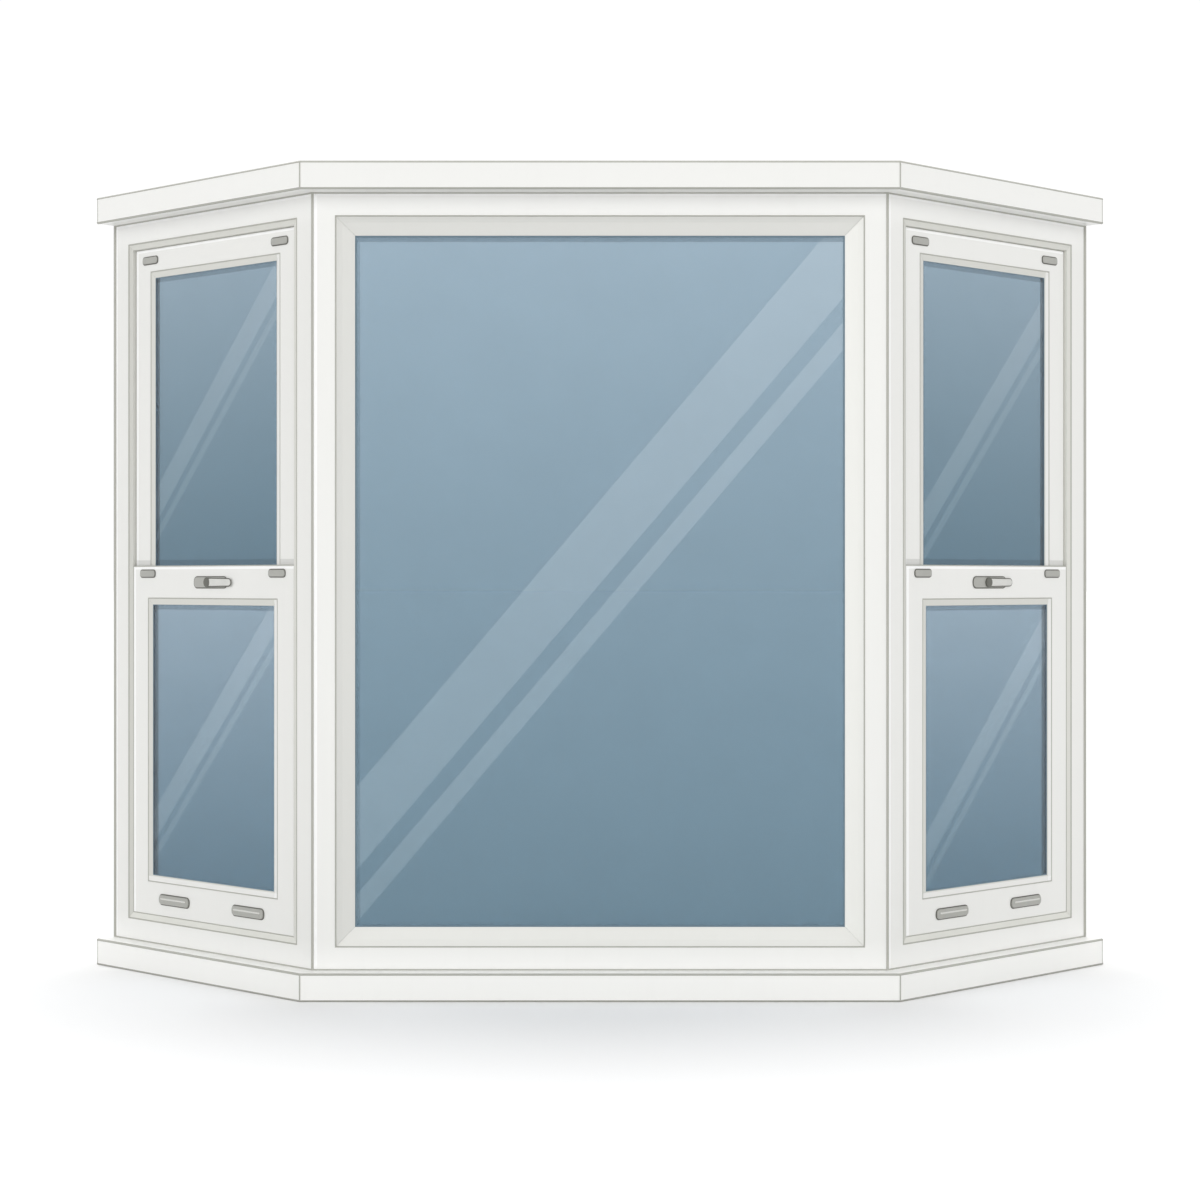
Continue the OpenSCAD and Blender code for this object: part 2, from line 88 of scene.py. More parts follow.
def localBox(name, side):  # lowest and highest corner of a node in a unit's own frame
    mesh = nodes[name].data
    p = np.empty(len(mesh.vertices) * 3)
    mesh.vertices.foreach_get("co", p)
    p = p.reshape(-1, 3)
    if side == "center":
        q = p - (0, faceY, frameLow)
    else:
        x = (p[:, 0] if side == "right" else -p[:, 0]) - cornerX
        y = p[:, 1] - faceY
        q = np.stack([x * cosBay + y * sinBay, y * cosBay - x * sinBay, p[:, 2] - frameLow], -1)
    return q.min(0), q.max(0)


# Each loft is an array of rings: ring k, point m round it, and X, Y, Z. Neighbouring rings are
# joined by quads, and the two end rings are closed by a face each unless the loft runs round.
# The signed volume says which way it came out, and a loft that is inside out is turned.
def loftFaces(rings, runsRound, first):
    k, m = rings.shape[:2]
    rows = np.arange(k if runsRound else k - 1)
    a = rows[:, None] * m + np.arange(m)
    b = rows[:, None] * m + (np.arange(m) + 1) % m
    up = ((rows + 1) % k - rows)[:, None] * m
    quads = np.stack([a, b, b + up, a + up], -1).reshape(-1, 4)
    p = rings.reshape(-1, 3) - rings.reshape(-1, 3).mean(0)
    q = p[quads]
    volume = np.einsum("ij,ij->i", q[:, 0], np.cross(q[:, 1], q[:, 2])).sum()
    volume += np.einsum("ij,ij->i", q[:, 0], np.cross(q[:, 2], q[:, 3])).sum()
    faces = quads.tolist()
    if not runsRound:
        low, high = np.arange(m)[::-1], (k - 1) * m + np.arange(m)
        for cap in (low, high):
            c = p[cap]
            volume += np.einsum("ij,ij->i", np.cross(c, np.roll(c, -1, 0)), c.mean(0)[None]).sum()
            faces.append(cap.tolist())
    if volume < 0:
        faces = [f[::-1] for f in faces]
    return [[i + first for i in f] for f in faces]


def makePiece(name, lofts, material, smooth=40, replaced=None):
    points, faces, first = [], [], 0
    for rings, runsRound in lofts:
        faces += loftFaces(rings, runsRound, first)
        points.append(rings.reshape(-1, 3))
        first += rings.shape[0] * rings.shape[1]
    mesh = bpy.data.meshes.new(name)
    mesh.from_pydata(np.concatenate(points).tolist(), [], faces)
    mesh.polygons.foreach_set("use_smooth", [True] * len(mesh.polygons))
    mesh.set_sharp_from_angle(angle=math.radians(smooth))
    mesh.materials.append(material)
    piece = bpy.data.objects.new(name, mesh)
    scene.collection.objects.link(piece)
    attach(piece, "root")
    if replaced:
        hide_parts(replaced)
    return piece


# A profile carried along a flat path. At each corner the profile is stretched sideways by
# one over (1 + cosine of the turn), so that it lies in the corner's mitre plane.
# The profile's numbers are out to the right of the path, and out along the path's normal.
def sweep(path, normal, profile, runsRound=False):
    path, normal = np.asarray(path, float), np.asarray(normal, float)
    ahead = np.roll(path, -1, 0) - path
    if not runsRound:
        ahead[-1] = ahead[-2]
    ahead /= np.linalg.norm(ahead, axis=1)[:, None]
    out = np.cross(ahead, normal)
    before = np.roll(out, 1, 0)
    if not runsRound:
        before[0] = out[0]
    out = (out + before) / (1 + (out * before).sum(1))[:, None]
    profile = np.asarray(profile, float)
    rings = path[:, None] + profile[None, :, :1] * out[:, None] + profile[None, :, 1:] * normal
    return rings, runsRound


def roundProfile(radius, points=10, shift=(0, 0)):  # a circle, for cords and seals
    t = np.arange(points) / points * 2 * np.pi
    return np.stack([radius * np.cos(t) + shift[0], radius * np.sin(t) + shift[1]], -1)


# A rounded rectangle: four quarter circles with straight runs between them
def roundedOutline(halfLength, halfHeight, corner, perCorner=8):
    t = np.linspace(0, np.pi / 2, perCorner)
    turn = np.concatenate([t, t + np.pi / 2, t + np.pi, t + 3 * np.pi / 2])
    sx = np.repeat([1, -1, -1, 1], perCorner)
    sz = np.repeat([1, 1, -1, -1], perCorner)
    return np.stack([sx * (halfLength - corner) + corner * np.cos(turn),
                     sz * (halfHeight - corner) + corner * np.sin(turn)], -1)


# A plate whose edge is a quarter circle and whose face is a low dome: at inset s from the edge
# the height is the circle's up to edgeRound, and then a parabola up to the crown. The last ring is
# nearly, but not quite, as far in as the plate's middle line, so that no face has two equal points.
plateEnd = {"inset": 0.94, "corner": 0.05}  # shares of half the height


def plateRings(halfLength, halfHeight, corner, thickness, edgeRound, crown, steps=6):
    t = np.linspace(0, np.pi / 2, steps)
    inset = np.concatenate([[0], edgeRound * (1 - np.cos(t)),
                            np.linspace(edgeRound, halfHeight * plateEnd["inset"], steps)[1:]])
    side = thickness - edgeRound - crown
    across = (inset[steps:] - edgeRound) / (halfHeight - edgeRound)
    height = np.concatenate([[0], side + edgeRound * np.sin(t),
                             thickness - crown * (1 - across[1:]) ** 2])
    least = halfHeight * plateEnd["corner"]
    rings = []
    for s, h in zip(inset, height):
        flat = roundedOutline(halfLength - s, halfHeight - s, max(corner - s, least))
        rings.append(np.stack([flat[:, 0], np.full(len(flat), -h), flat[:, 1]], -1))
    return np.array(rings)


domeSweep = np.pi / 2 * 0.96  # a little short of the quarter circle, so that the top ring is open


# A round cap: the radius falls as a cosine and the height rises as a sine
def domeRings(radius, foot, rise, points=32, steps=8):
    t = np.linspace(0, domeSweep, steps)
    r = np.concatenate([[radius], radius * np.cos(t)])
    h = np.concatenate([[0], foot + rise * np.sin(t)])
    a = np.arange(points) / points * 2 * np.pi
    return np.stack([r[:, None] * np.cos(a), np.repeat(-h[:, None], points, 1),
                     r[:, None] * np.sin(a)], -1)


def placed(rings, at, side, runsRound=False):  # moves a loft in its unit, and then into the bay
    return toWorld(rings + np.asarray(at), side), runsRound


def addNode(tree, kind, values=None, **settings):
    made = tree.nodes.new(kind)
    for key, value in settings.items():
        setattr(made, key, value)
    for key, value in (values or {}).items():
        socket = made.inputs[key]
        if isinstance(value, bpy.types.NodeSocket):
            tree.links.new(value, socket)
        else:
            socket.default_value = value
    return made


def sums(tree, operation, a, b=0.0, c=0.0, clamp=False):
    return addNode(tree, "ShaderNodeMath", {0: a, 1: b, 2: c}, operation=operation,
                   use_clamp=clamp).outputs[0]


def blendColors(tree, factor, a, b, way="MIX"):
    return addNode(tree, "ShaderNodeMix", {0: factor, 6: a, 7: b}, data_type="RGBA",
                   blend_type=way).outputs[2]


def vectorSums(tree, operation, values):
    return addNode(tree, "ShaderNodeVectorMath", values, operation=operation).outputs[0]


def scaled(tree, color, factor):  # a color times a number
    if isinstance(color, tuple):
        color = color[:3]
    return vectorSums(tree, "SCALE", {0: color, "Scale": factor})


def noise(tree, vector, scale, detail):
    return addNode(tree, "ShaderNodeTexNoise", {
        "Vector": vector, "Scale": scale, "Detail": detail}).outputs[0]


def swing(tree, value, amount, middle, clamp=False):  # middle + amount * (value - 1/2)
    return sums(tree, "MULTIPLY_ADD", sums(tree, "SUBTRACT", value, 0.5), amount, middle, clamp)


socketKinds = {"f": "NodeSocketFloat", "c": "NodeSocketColor", "v": "NodeSocketVector"}


def newGroup(name, inputs, outputs):
    tree = bpy.data.node_groups.new(name, "ShaderNodeTree")
    for label, kind in inputs.items():
        tree.interface.new_socket(name=label, in_out="INPUT", socket_type=socketKinds[kind])
    for label, kind in outputs.items():
        tree.interface.new_socket(name=label, in_out="OUTPUT", socket_type=socketKinds[kind])
    start, end = tree.nodes.new("NodeGroupInput"), tree.nodes.new("NodeGroupOutput")
    return tree, start.outputs, end.inputs


def rampStep(tree, value, low, high):  # 0 below low, 1 above high, and straight between
    made = addNode(tree, "ShaderNodeMapRange", {"Value": value, "From Min": low, "From Max": high})
    return made.outputs[0]


# Scales of the noise, the parts of its range that count, and what each does
plasticGrain = {
    "driftScale": 2.3, "runStretch": (38, 38, 1.6), "runRange": (0.55, 0.8),
    "speckScale": 420.0, "speckRange": (0.68, 0.78), "swellScale": 26.0, "swellHeight": 1.5,
    "shineSwing": 0.12, "markRoughness": 2.0,
}


# How the white plastic looks close up: slow drifts of tone, faint vertical run marks, specks of
# dust, a moulded grain in the height, and a shine that varies with all of them.
def plasticGroup():
    tree, i, o = newGroup("plasticSurface", {
        "Vector": "v", "Color": "c", "Drift": "f", "Run Marks": "f", "Dust": "f",
        "Roughness": "f", "Grain Scale": "f"}, {"Color": "c", "Roughness": "f", "Height": "f"})
    place = i["Vector"]
    tall = addNode(tree, "ShaderNodeMapping", {
        "Vector": place, "Scale": plasticGrain["runStretch"]}).outputs[0]
    drift = noise(tree, place, plasticGrain["driftScale"], 3.0)
    runs = noise(tree, tall, 1.0, 4.0)
    specks = noise(tree, place, plasticGrain["speckScale"], 2.0)
    grain = noise(tree, place, i["Grain Scale"], 3.0)
    swell = noise(tree, place, plasticGrain["swellScale"], 1.0)
    tone = swing(tree, drift, i["Drift"], 1.0)
    mark = sums(tree, "MULTIPLY", rampStep(tree, runs, *plasticGrain["runRange"]), i["Run Marks"])
    speck = sums(tree, "MULTIPLY", rampStep(tree, specks, *plasticGrain["speckRange"]), i["Dust"])
    shade = sums(tree, "SUBTRACT", sums(tree, "SUBTRACT", tone, mark), speck)
    dull = sums(tree, "MULTIPLY", sums(tree, "ADD", mark, speck), plasticGrain["markRoughness"])
    rough = swing(tree, swell, plasticGrain["shineSwing"], i["Roughness"])
    height = sums(tree, "MULTIPLY_ADD", swell, plasticGrain["swellHeight"], grain)
    tree.links.new(scaled(tree, i["Color"], shade), o["Color"])
    tree.links.new(sums(tree, "ADD", rough, dull, clamp=True), o["Roughness"])
    tree.links.new(height, o["Height"])
    return tree


# A soft band along the low and the high end of one coordinate, for painted highlights and shade
def edgeGroup():
    tree, i, o = newGroup("edgeBands", {
        "Along": "f", "Low": "f", "High": "f", "Full": "f", "Width": "f"},
        {"Low Band": "f", "High Band": "f"})
    fromLow = sums(tree, "SUBTRACT", i["Along"], i["Low"])
    fromHigh = sums(tree, "SUBTRACT", i["High"], i["Along"])
    for value, label in ((fromLow, "Low Band"), (fromHigh, "High Band")):
        band = sums(tree, "SUBTRACT", 1.0, rampStep(tree, value, i["Full"], i["Width"]))
        tree.links.new(band, o[label])
    return tree


tieWidth = 0.00001  # a gap that is larger than the nearest one by less than this counts as equal


# Painted light and shade: how much paler or darker each member of a rectangular frame is made. A
# point belongs to the member whose outer edge is nearest, so that the tones meet along the mitres.
def memberGroup():
    tree, i, o = newGroup("paintedMemberShade", {
        "Vector": "v", "Low": "v", "High": "v", "Low Side": "f", "High Side": "f",
        "Bottom": "f", "Top": "f"}, {"Tone": "f"})
    low, high = (addNode(tree, "ShaderNodeSeparateXYZ", {
        0: vectorSums(tree, "SUBTRACT", {0: a, 1: b})}).outputs
        for a, b in ((i["Vector"], i["Low"]), (i["High"], i["Vector"])))
    gaps = {"Low Side": low[0], "High Side": high[0], "Bottom": low[2], "Top": high[2]}
    nearest = sums(tree, "MINIMUM", sums(tree, "MINIMUM", low[0], high[0]),
                   sums(tree, "MINIMUM", low[2], high[2]))
    reach = sums(tree, "ADD", nearest, tieWidth)
    tone = 1.0
    for label, gap in gaps.items():
        tone = sums(tree, "MULTIPLY_ADD", sums(tree, "LESS_THAN", gap, reach), i[label], tone)
    tree.links.new(tone, o["Tone"])
    return tree


# blur: how soft the bands' edges are, in metres. sideStrip and railShade: how strong these are.
tintLook = {"blur": 0.0012, "sideStrip": 0.6, "railShade": 0.8, "filmScale": 9.0, "film": 0.03}


# The tint of one pane: a fade from the top color to the bottom one, which is painted light, two
# slanted bands of painted reflection, and strips of painted shade along the top, one side and the
# foot where the bead or the rail shades the glass.
# Bands and strips lie on the front pane only, so that the pane behind doesn't double them.
# A band holds the points whose height minus slope times distance lies between its two numbers.
def tintGroup():
    tree, i, o = newGroup("paneTint", {
        "Vector": "v", "Middle": "f", "Half Width": "f", "Low": "f", "High": "f", "Hand": "f",
        "Top Color": "c", "Bottom Color": "c", "Shade Color": "c", "Slope": "f",
        "Wide Low": "f", "Wide High": "f", "Narrow Low": "f", "Narrow High": "f",
        "Wide Gain": "f", "Narrow Gain": "f", "Top Strip": "f", "Side Strip": "f",
        "Rail Shade": "f", "Back Pane": "f", "Fade Curve": "f"}, {"Color": "c"})
    xyz = addNode(tree, "ShaderNodeSeparateXYZ", {0: i["Vector"]}).outputs
    front = sums(tree, "LESS_THAN", xyz[1], i["Back Pane"])
    across = sums(tree, "MULTIPLY", sums(tree, "SUBTRACT", xyz[0], i["Middle"]), i["Hand"])
    rise = sums(tree, "POWER", rampStep(tree, xyz[2], i["Low"], i["High"]), i["Fade Curve"])
    fade = blendColors(tree, rise, i["Bottom Color"], i["Top Color"])
    slant = sums(tree, "SUBTRACT", xyz[2], sums(tree, "MULTIPLY", across, i["Slope"]))
    lit = fade
    for low, high, gain in (("Wide Low", "Wide High", "Wide Gain"),
                            ("Narrow Low", "Narrow High", "Narrow Gain")):
        above, below = (rampStep(tree, slant, i[end], sums(tree, "ADD", i[end], tintLook["blur"]))
                        for end in (low, high))
        inside = sums(tree, "MULTIPLY", sums(tree, "SUBTRACT", above, below), front)
        lit = blendColors(tree, sums(tree, "MULTIPLY", inside, i[gain]), lit, (1, 1, 1, 1))
    drop = sums(tree, "SUBTRACT", i["High"], xyz[2])
    topMask = sums(tree, "LESS_THAN", drop, i["Top Strip"])
    fromEdge = sums(tree, "ADD", across, i["Half Width"])
    sideMask = sums(tree, "MULTIPLY", sums(tree, "LESS_THAN", fromEdge, i["Side Strip"]),
                    tintLook["sideStrip"])
    mask = sums(tree, "MULTIPLY", sums(tree, "MAXIMUM", topMask, sideMask), front)
    shaded = blendColors(tree, mask, lit, i["Shade Color"], way="MULTIPLY")
    railRise = sums(tree, "SUBTRACT", xyz[2], i["Low"])
    rail = sums(tree, "MULTIPLY", sums(tree, "LESS_THAN", railRise, i["Rail Shade"]), front)
    shaded = blendColors(tree, sums(tree, "MULTIPLY", rail, tintLook["railShade"]), shaded,
                         i["Shade Color"], way="MULTIPLY")
    film = noise(tree, i["Vector"], tintLook["filmScale"], 2.0)
    haze = swing(tree, film, tintLook["film"], 1.0)
    tree.links.new(scaled(tree, shaded, haze), o["Color"])
    return tree


metalGrain = {"pitScale": 700.0, "driftScale": 30.0, "drift": 0.16, "shineSwing": 0.2}


# Bare or lacquered metal: fine pits, a slow drift of tone and a varying shine
def metalGroup():
    tree, i, o = newGroup("lacquerSurface", {
        "Vector": "v", "Color": "c", "Roughness": "f", "Pits": "f", "Stretch": "v"},
        {"Color": "c", "Roughness": "f", "Height": "f"})
    pulled = vectorSums(tree, "MULTIPLY", {0: i["Vector"], 1: i["Stretch"]})
    fine = noise(tree, pulled, metalGrain["pitScale"], 3.0)
    slow = noise(tree, i["Vector"], metalGrain["driftScale"], 2.0)
    tone = swing(tree, fine, i["Pits"], swing(tree, slow, metalGrain["drift"], 1.0))
    rough = swing(tree, slow, metalGrain["shineSwing"], i["Roughness"], clamp=True)
    tree.links.new(scaled(tree, i["Color"], tone), o["Color"])
    tree.links.new(rough, o["Roughness"])
    tree.links.new(fine, o["Height"])
    return tree


plasticTree, edgeTree, memberTree = plasticGroup(), edgeGroup(), memberGroup()
tintTree, metalTree = tintGroup(), metalGroup()


def newMaterial(name):
    material = bpy.data.materials.new(name)
    material.use_nodes = True
    tree = material.node_tree
    return material, tree, tree.nodes["Principled BSDF"]


def addGroup(tree, group, values):
    return addNode(tree, "ShaderNodeGroup", values, node_tree=group).outputs


# Object coordinates turned into a unit's own frame
def unitVector(tree, side):
    place = addNode(tree, "ShaderNodeTexCoord").outputs["Object"]
    if side == "center":
        return addNode(tree, "ShaderNodeMapping", {
            "Vector": place, "Location": (0, -faceY, -frameLow)}).outputs[0]
    shift = (-cornerX * cosBay - faceY * sinBay, cornerX * sinBay - faceY * cosBay, -frameLow)
    return addNode(tree, "ShaderNodeMapping", {
        "Vector": place, "Scale": (1 if side == "right" else -1, 1, 1),
        "Rotation": (0, 0, -bayAngle), "Location": shift}).outputs[0]


def addBump(tree, shader, height, strength, distance):
    bump = addNode(tree, "ShaderNodeBump", {
        "Height": height, "Strength": strength, "Distance": distance})
    tree.links.new(bump.outputs[0], shader.inputs["Normal"])


plasticLook = {
    "drift": 0.02, "runMarks": 0.012, "dust": 0.03, "grainScale": 850.0,
    "bumpStrength": 0.12, "bumpDistance": 0.0004, "coat": 0.12, "coatRoughness": 0.25,
}


# bands: axis number, low and high end, where the band ends being full and where it is gone, and
# how far the two ends go towards white, or towards black if negative.
# members: lowest and highest corner, and the tones of the low side, high side, bottom and top.
def plastic(name, color, roughness, side="center", bands=(), members=None, look=None):
    material, tree, shader = newMaterial(name)
    values = dict(plasticLook, **(look or {}))
    vector = unitVector(tree, side)
    base = (*color, 1)
    if bands:
        xyz = addNode(tree, "ShaderNodeSeparateXYZ", {0: vector}).outputs
        for axis, low, high, full, width, gainLow, gainHigh in bands:
            band = addGroup(tree, edgeTree, {
                "Along": xyz[axis], "Low": low, "High": high, "Full": full, "Width": width})
            for label, gain in (("Low Band", gainLow), ("High Band", gainHigh)):
                if gain:
                    aim = (1, 1, 1, 1) if gain > 0 else (0, 0, 0, 1)
                    factor = sums(tree, "MULTIPLY", band[label], abs(gain))
                    base = blendColors(tree, factor, base, aim)
    if members:
        low, high, tones = members
        tone = addGroup(tree, memberTree, {
            "Vector": vector, "Low": tuple(low), "High": tuple(high), "Low Side": tones[0],
            "High Side": tones[1], "Bottom": tones[2], "Top": tones[3]})
        base = scaled(tree, base, tone["Tone"])
    out = addGroup(tree, plasticTree, {
        "Vector": vector, "Color": base, "Drift": values["drift"],
        "Run Marks": values["runMarks"], "Dust": values["dust"], "Roughness": roughness,
        "Grain Scale": values["grainScale"]})
    tree.links.new(out["Color"], shader.inputs["Base Color"])
    tree.links.new(out["Roughness"], shader.inputs["Roughness"])
    shader.inputs["Coat Weight"].default_value = values["coat"]
    shader.inputs["Coat Roughness"].default_value = values["coatRoughness"]
    addBump(tree, shader, out["Height"], values["bumpStrength"], values["bumpDistance"])
    return material


pitDepth = 0.0003  # depth of the metal's bump, in metres


def metal(name, color, roughness, metallic=0.0, pits=0.2, stretch=(1, 1, 1), bump=0.35):
    material, tree, shader = newMaterial(name)
    place = addNode(tree, "ShaderNodeTexCoord").outputs["Object"]
    out = addGroup(tree, metalTree, {
        "Vector": place, "Color": (*color, 1), "Roughness": roughness, "Pits": pits,
        "Stretch": stretch})
    tree.links.new(out["Color"], shader.inputs["Base Color"])
    tree.links.new(out["Roughness"], shader.inputs["Roughness"])
    shader.inputs["Metallic"].default_value = metallic
    addBump(tree, shader, out["Height"], bump, pitDepth)
    return material


def paint(names, material):
    for name in names:
        slots = nodes[name].material_slots
        for k in range(len(slots)):
            slots[k].material = material


# Whites of the plastic. board and frame are its own white; the other colors are copies of it made
# paler or darker, which is painted light and shade: the sill parts and the head's side fascias
# paler where less light reaches them, the side frames, the beads and the liners darker as if
# shaded.
whites = {
    "board": (0.85, 0.85, 0.825), "frame": (0.85, 0.85, 0.825),
    "headCenter": (0.85, 0.85, 0.825), "headSide": (0.89, 0.89, 0.865),
    "sillCenter": (0.95, 0.95, 0.925), "sillSide": (0.96, 0.96, 0.935),
    "sillBoard": (0.92, 0.92, 0.895),
    "left": (0.815, 0.815, 0.79), "right": (0.83, 0.83, 0.805),
    "beads": (0.80, 0.80, 0.765), "sashBeads": (0.66, 0.66, 0.62), "liner": (0.70, 0.70, 0.655),
    "frameRoughness": 0.34, "boardRoughness": 0.38, "beadRoughness": 0.4, "linerRoughness": 0.6,
}
linerLook = {"coat": 0.0, "dust": 0.08}  # matt, with more dust than the rest
paintedMemberShade = {  # painted light and shade of a frame's members: outer or left one, inner or right one, bottom and top
    "bead": (-0.09, 0.09, 0.02, -0.08), "liner": (-0.13, 0.0, 0.07, -0.06),
}
paintedStrips = {  # painted light and shade: widths in metres, and how far each strip goes towards white or black
    "edgeWidth": 0.0095, "edgeGain": 0.8,  # painted highlights along left and upper edges
    "upperFull": 0.6, "upperWidth": 0.7,  # shares of edgeWidth, for the strip on an upper edge
    "fasciaFull": 0.5, "fasciaWidth": 0.6, "fasciaGain": 0.35,  # and for the painted highlight on a fascia's lower edge
    "beadWidth": 0.0115, "beadGain": 0.45,  # painted light on the beads of the sashes
    "full": 0.85,  # share of a strip's width that is evenly pale
    "litEndHeight": 0.06, "litEndGain": 0.4,  # painted light: paler at the frames' ends, under the head and on the sill
    "topShadeFull": 0.0004, "topShadeWidth": 0.0012, "dust": 0.25,  # painted shade: darker on the head board's upper face
    "railShade": 0.2, "railShadeHeight": 0.014,  # on the upper stiles, just over the lower sash
}


# Painted highlights: pale strips along the left and upper edges of a member, as seen from outside.
# Leftwards is along -X on the center and right units, and along +X on the mirrored left unit.
def paleEdges(low, high, side):
    gain, width = paintedStrips["edgeGain"], paintedStrips["edgeWidth"]
    ends = (0, gain) if side == "left" else (gain, 0)
    return [(0, low[0], high[0], width * paintedStrips["full"], width, *ends),
            (2, low[2], high[2], width * paintedStrips["upperFull"], width * paintedStrips["upperWidth"], 0, gain)]


# Painted light: pale strips on the beads of both sashes, along their foot and along the side that
# is on the viewer's right
def paleBeads(low, high, side):
    gain, width = paintedStrips["beadGain"], paintedStrips["beadWidth"]
    ends = (gain, 0) if side == "left" else (0, gain)
    return [(axis, low[axis], high[axis], width * paintedStrips["full"], width, *gains)
            for axis, gains in ((0, ends), (2, (gain, 0)))]


def paintedLightEnds(low, high):  # painted light: the plastic is made paler under the head and just over the sill, where less light reaches it
    return [(2, low[2], high[2], 0, paintedStrips["litEndHeight"], paintedStrips["litEndGain"], paintedStrips["litEndGain"])]


def turned(tones, side):  # the left unit is a mirror image, so its two sides swap
    return (tones[1], tones[0], *tones[2:]) if side == "left" else tones


low, high = localBox("head_board", "center")
# The band makes the head board's upper face darker: painted shade
boardMaterial = plastic("boardPlastic", whites["board"], whites["boardRoughness"], bands=[
    (2, low[2], high[2], paintedStrips["topShadeFull"], paintedStrips["topShadeWidth"], 0, -paintedStrips["dust"])])
frameBox = localBox("center_frame", "center")
frameMaterial = plastic("framePlastic", whites["frame"], whites["frameRoughness"],
                        bands=paleEdges(*frameBox, "center") + paintedLightEnds(*frameBox))
postMaterial = plastic("postPlastic", whites["frame"], whites["frameRoughness"])
beadMaterial = plastic("beadPlastic", whites["beads"], whites["frameRoughness"],
                       members=(*localBox("center_glazing_beads", "center"), paintedMemberShade["bead"]))
sillMaterial = plastic("sillPlastic", whites["sillBoard"], whites["boardRoughness"])
paint(["head_board"], boardMaterial)
paint(["seat_board"], sillMaterial)
for board in ("sill", "head"):
    low, high = localBox(board + "_fascia_center", "center")
    width = paintedStrips["edgeWidth"]
    # A painted highlight along each fascia's lower edge
    lowerEdge = [(2, low[2], high[2], width * paintedStrips["fasciaFull"], width * paintedStrips["fasciaWidth"],
                  paintedStrips["fasciaGain"], 0)]
    for part in ("left", "center", "right"):
        tone = whites[board + ("Center" if part == "center" else "Side")]
        fascia = plastic(f"{board}{part.title()}Plastic", tone, whites["boardRoughness"],
                         bands=lowerEdge)
        paint([f"{board}_fascia_{part}"], fascia)
paint(["center_frame"], frameMaterial)
paint(["corner_post_left", "corner_post_right", "wall_jamb_left", "wall_jamb_right"],
      postMaterial)
paint(["center_glazing_beads"], beadMaterial)
for side in ("left", "right"):
    frameBox, upperBox, lowerBox, beadBox, linerBox = (
        localBox(f"{side}_{part}", side)
        for part in ("frame", "upper_sash", "lower_sash", "sash_beads", "track_liners"))
    frameBox[0][0] = 0  # the frame's inner edge counts from the bay's corner
    height = paintedStrips["railShadeHeight"]
    shade = (2, lowerBox[1][2], upperBox[1][2], height * paintedStrips["full"], height,
             -paintedStrips["railShade"], 0)
    tone, roughness = whites[side], whites["frameRoughness"]
    for part, material in (
            ("frame", plastic(side + "FramePlastic", tone, roughness, side,
                              paleEdges(*frameBox, side) + paintedLightEnds(*frameBox))),
            ("upper_sash", plastic(side + "UpperSashPlastic", tone, roughness, side,
                                   paleEdges(*upperBox, side) + [shade])),
            ("lower_sash", plastic(side + "LowerSashPlastic", tone, roughness, side,
                                   paleEdges(*lowerBox, side))),
            ("sash_beads", plastic(side + "BeadPlastic", whites["sashBeads"],
                                   whites["beadRoughness"], side, paleBeads(*beadBox, side))),
            ("track_liners", plastic(side + "LinerPlastic", whites["liner"],
                                     whites["linerRoughness"], side,
                                     members=(*linerBox, turned(paintedMemberShade["liner"], side)),
                                     look=linerLook))):
        paint([f"{side}_{part}"], material)
print("white plastic done")

softLook = {"coat": 0.0, "dust": 0.12, "drift": 0.06, "grainScale": 1400.0, "bumpStrength": 0.3}
# A color and a roughness each
softColors = {"rubber": ((0.15, 0.22, 0.27), 0.62), "skin": ((0.44, 0.44, 0.40), 0.6)}
metalColors = {
    "spacer": ((0.62, 0.64, 0.66), 0.32), "fitting": ((0.40, 0.40, 0.372), 0.42),
    "lever": ((0.66, 0.66, 0.63), 0.38), "rim": ((0.12, 0.12, 0.103), 0.5),
}
rubber = plastic("gasketRubber", *softColors["rubber"], look=softLook)
sealant = plastic("sealantSkin", *softColors["skin"], look=softLook)
spacerMetal = metal("spacerMetal", *metalColors["spacer"], metallic=1.0, pits=0.08,
                    stretch=(1, 1, 14), bump=0.2)
fittingMetal = metal("fittingLacquer", *metalColors["fitting"])
leverMetal = metal("leverLacquer", *metalColors["lever"])
rimMetal = metal("fittingRims", *metalColors["rim"])
paint(["center_gaskets", "left_gaskets", "right_gaskets"], rubber)
paint(["center_spacer", "left_spacers", "right_spacers"], spacerMetal)

glassLook = {
    "backdrop": 1.03,  # brightness seen through the panes
    "mirror": 0.065,  # brightness that the panes give back
    # the colors that a pair of panes shows at its top and at its bottom; the fade between them is
    # painted light
    "centerTop": (0.612, 0.690, 0.745), "centerBottom": (0.459, 0.545, 0.600),
    "upperTop": (0.588, 0.667, 0.722), "upperBottom": (0.427, 0.518, 0.576),
    "lowerTop": (0.565, 0.639, 0.694), "lowerBottom": (0.404, 0.490, 0.549),
    "screenGamma": 2.2, "least": 0.01,
    "shade": (0.66, 0.69, 0.71), "shadowTint": (0.85, 0.86, 0.87),
    "roughness": 0.0, "ior": 1.45, "specular": 0.25,
}
# Of one pane: how strong its two bands of painted reflection are, how wide its strips of painted
# shade are, in metres, how its fade is curved, and how far beads and gasket hide its edge, in
# metres
paneLook = {
    "center": {"wideGain": 0.23, "narrowGain": 0.23, "topStrip": 0.0085, "sideStrip": 0.006,
               "railShade": 0.0, "fadeCurve": 1.2, "cover": 0.0346},
    "upper": {"wideGain": 0.21, "narrowGain": 0.16, "topStrip": 0.0085, "sideStrip": 0.004,
              "railShade": 0.013, "fadeCurve": 1.03, "cover": 0.0105},
    "lower": {"wideGain": 0.21, "narrowGain": 0.16, "topStrip": 0.0085, "sideStrip": 0.004,
              "railShade": 0.0, "fadeCurve": 1.03, "cover": 0.0105},
}


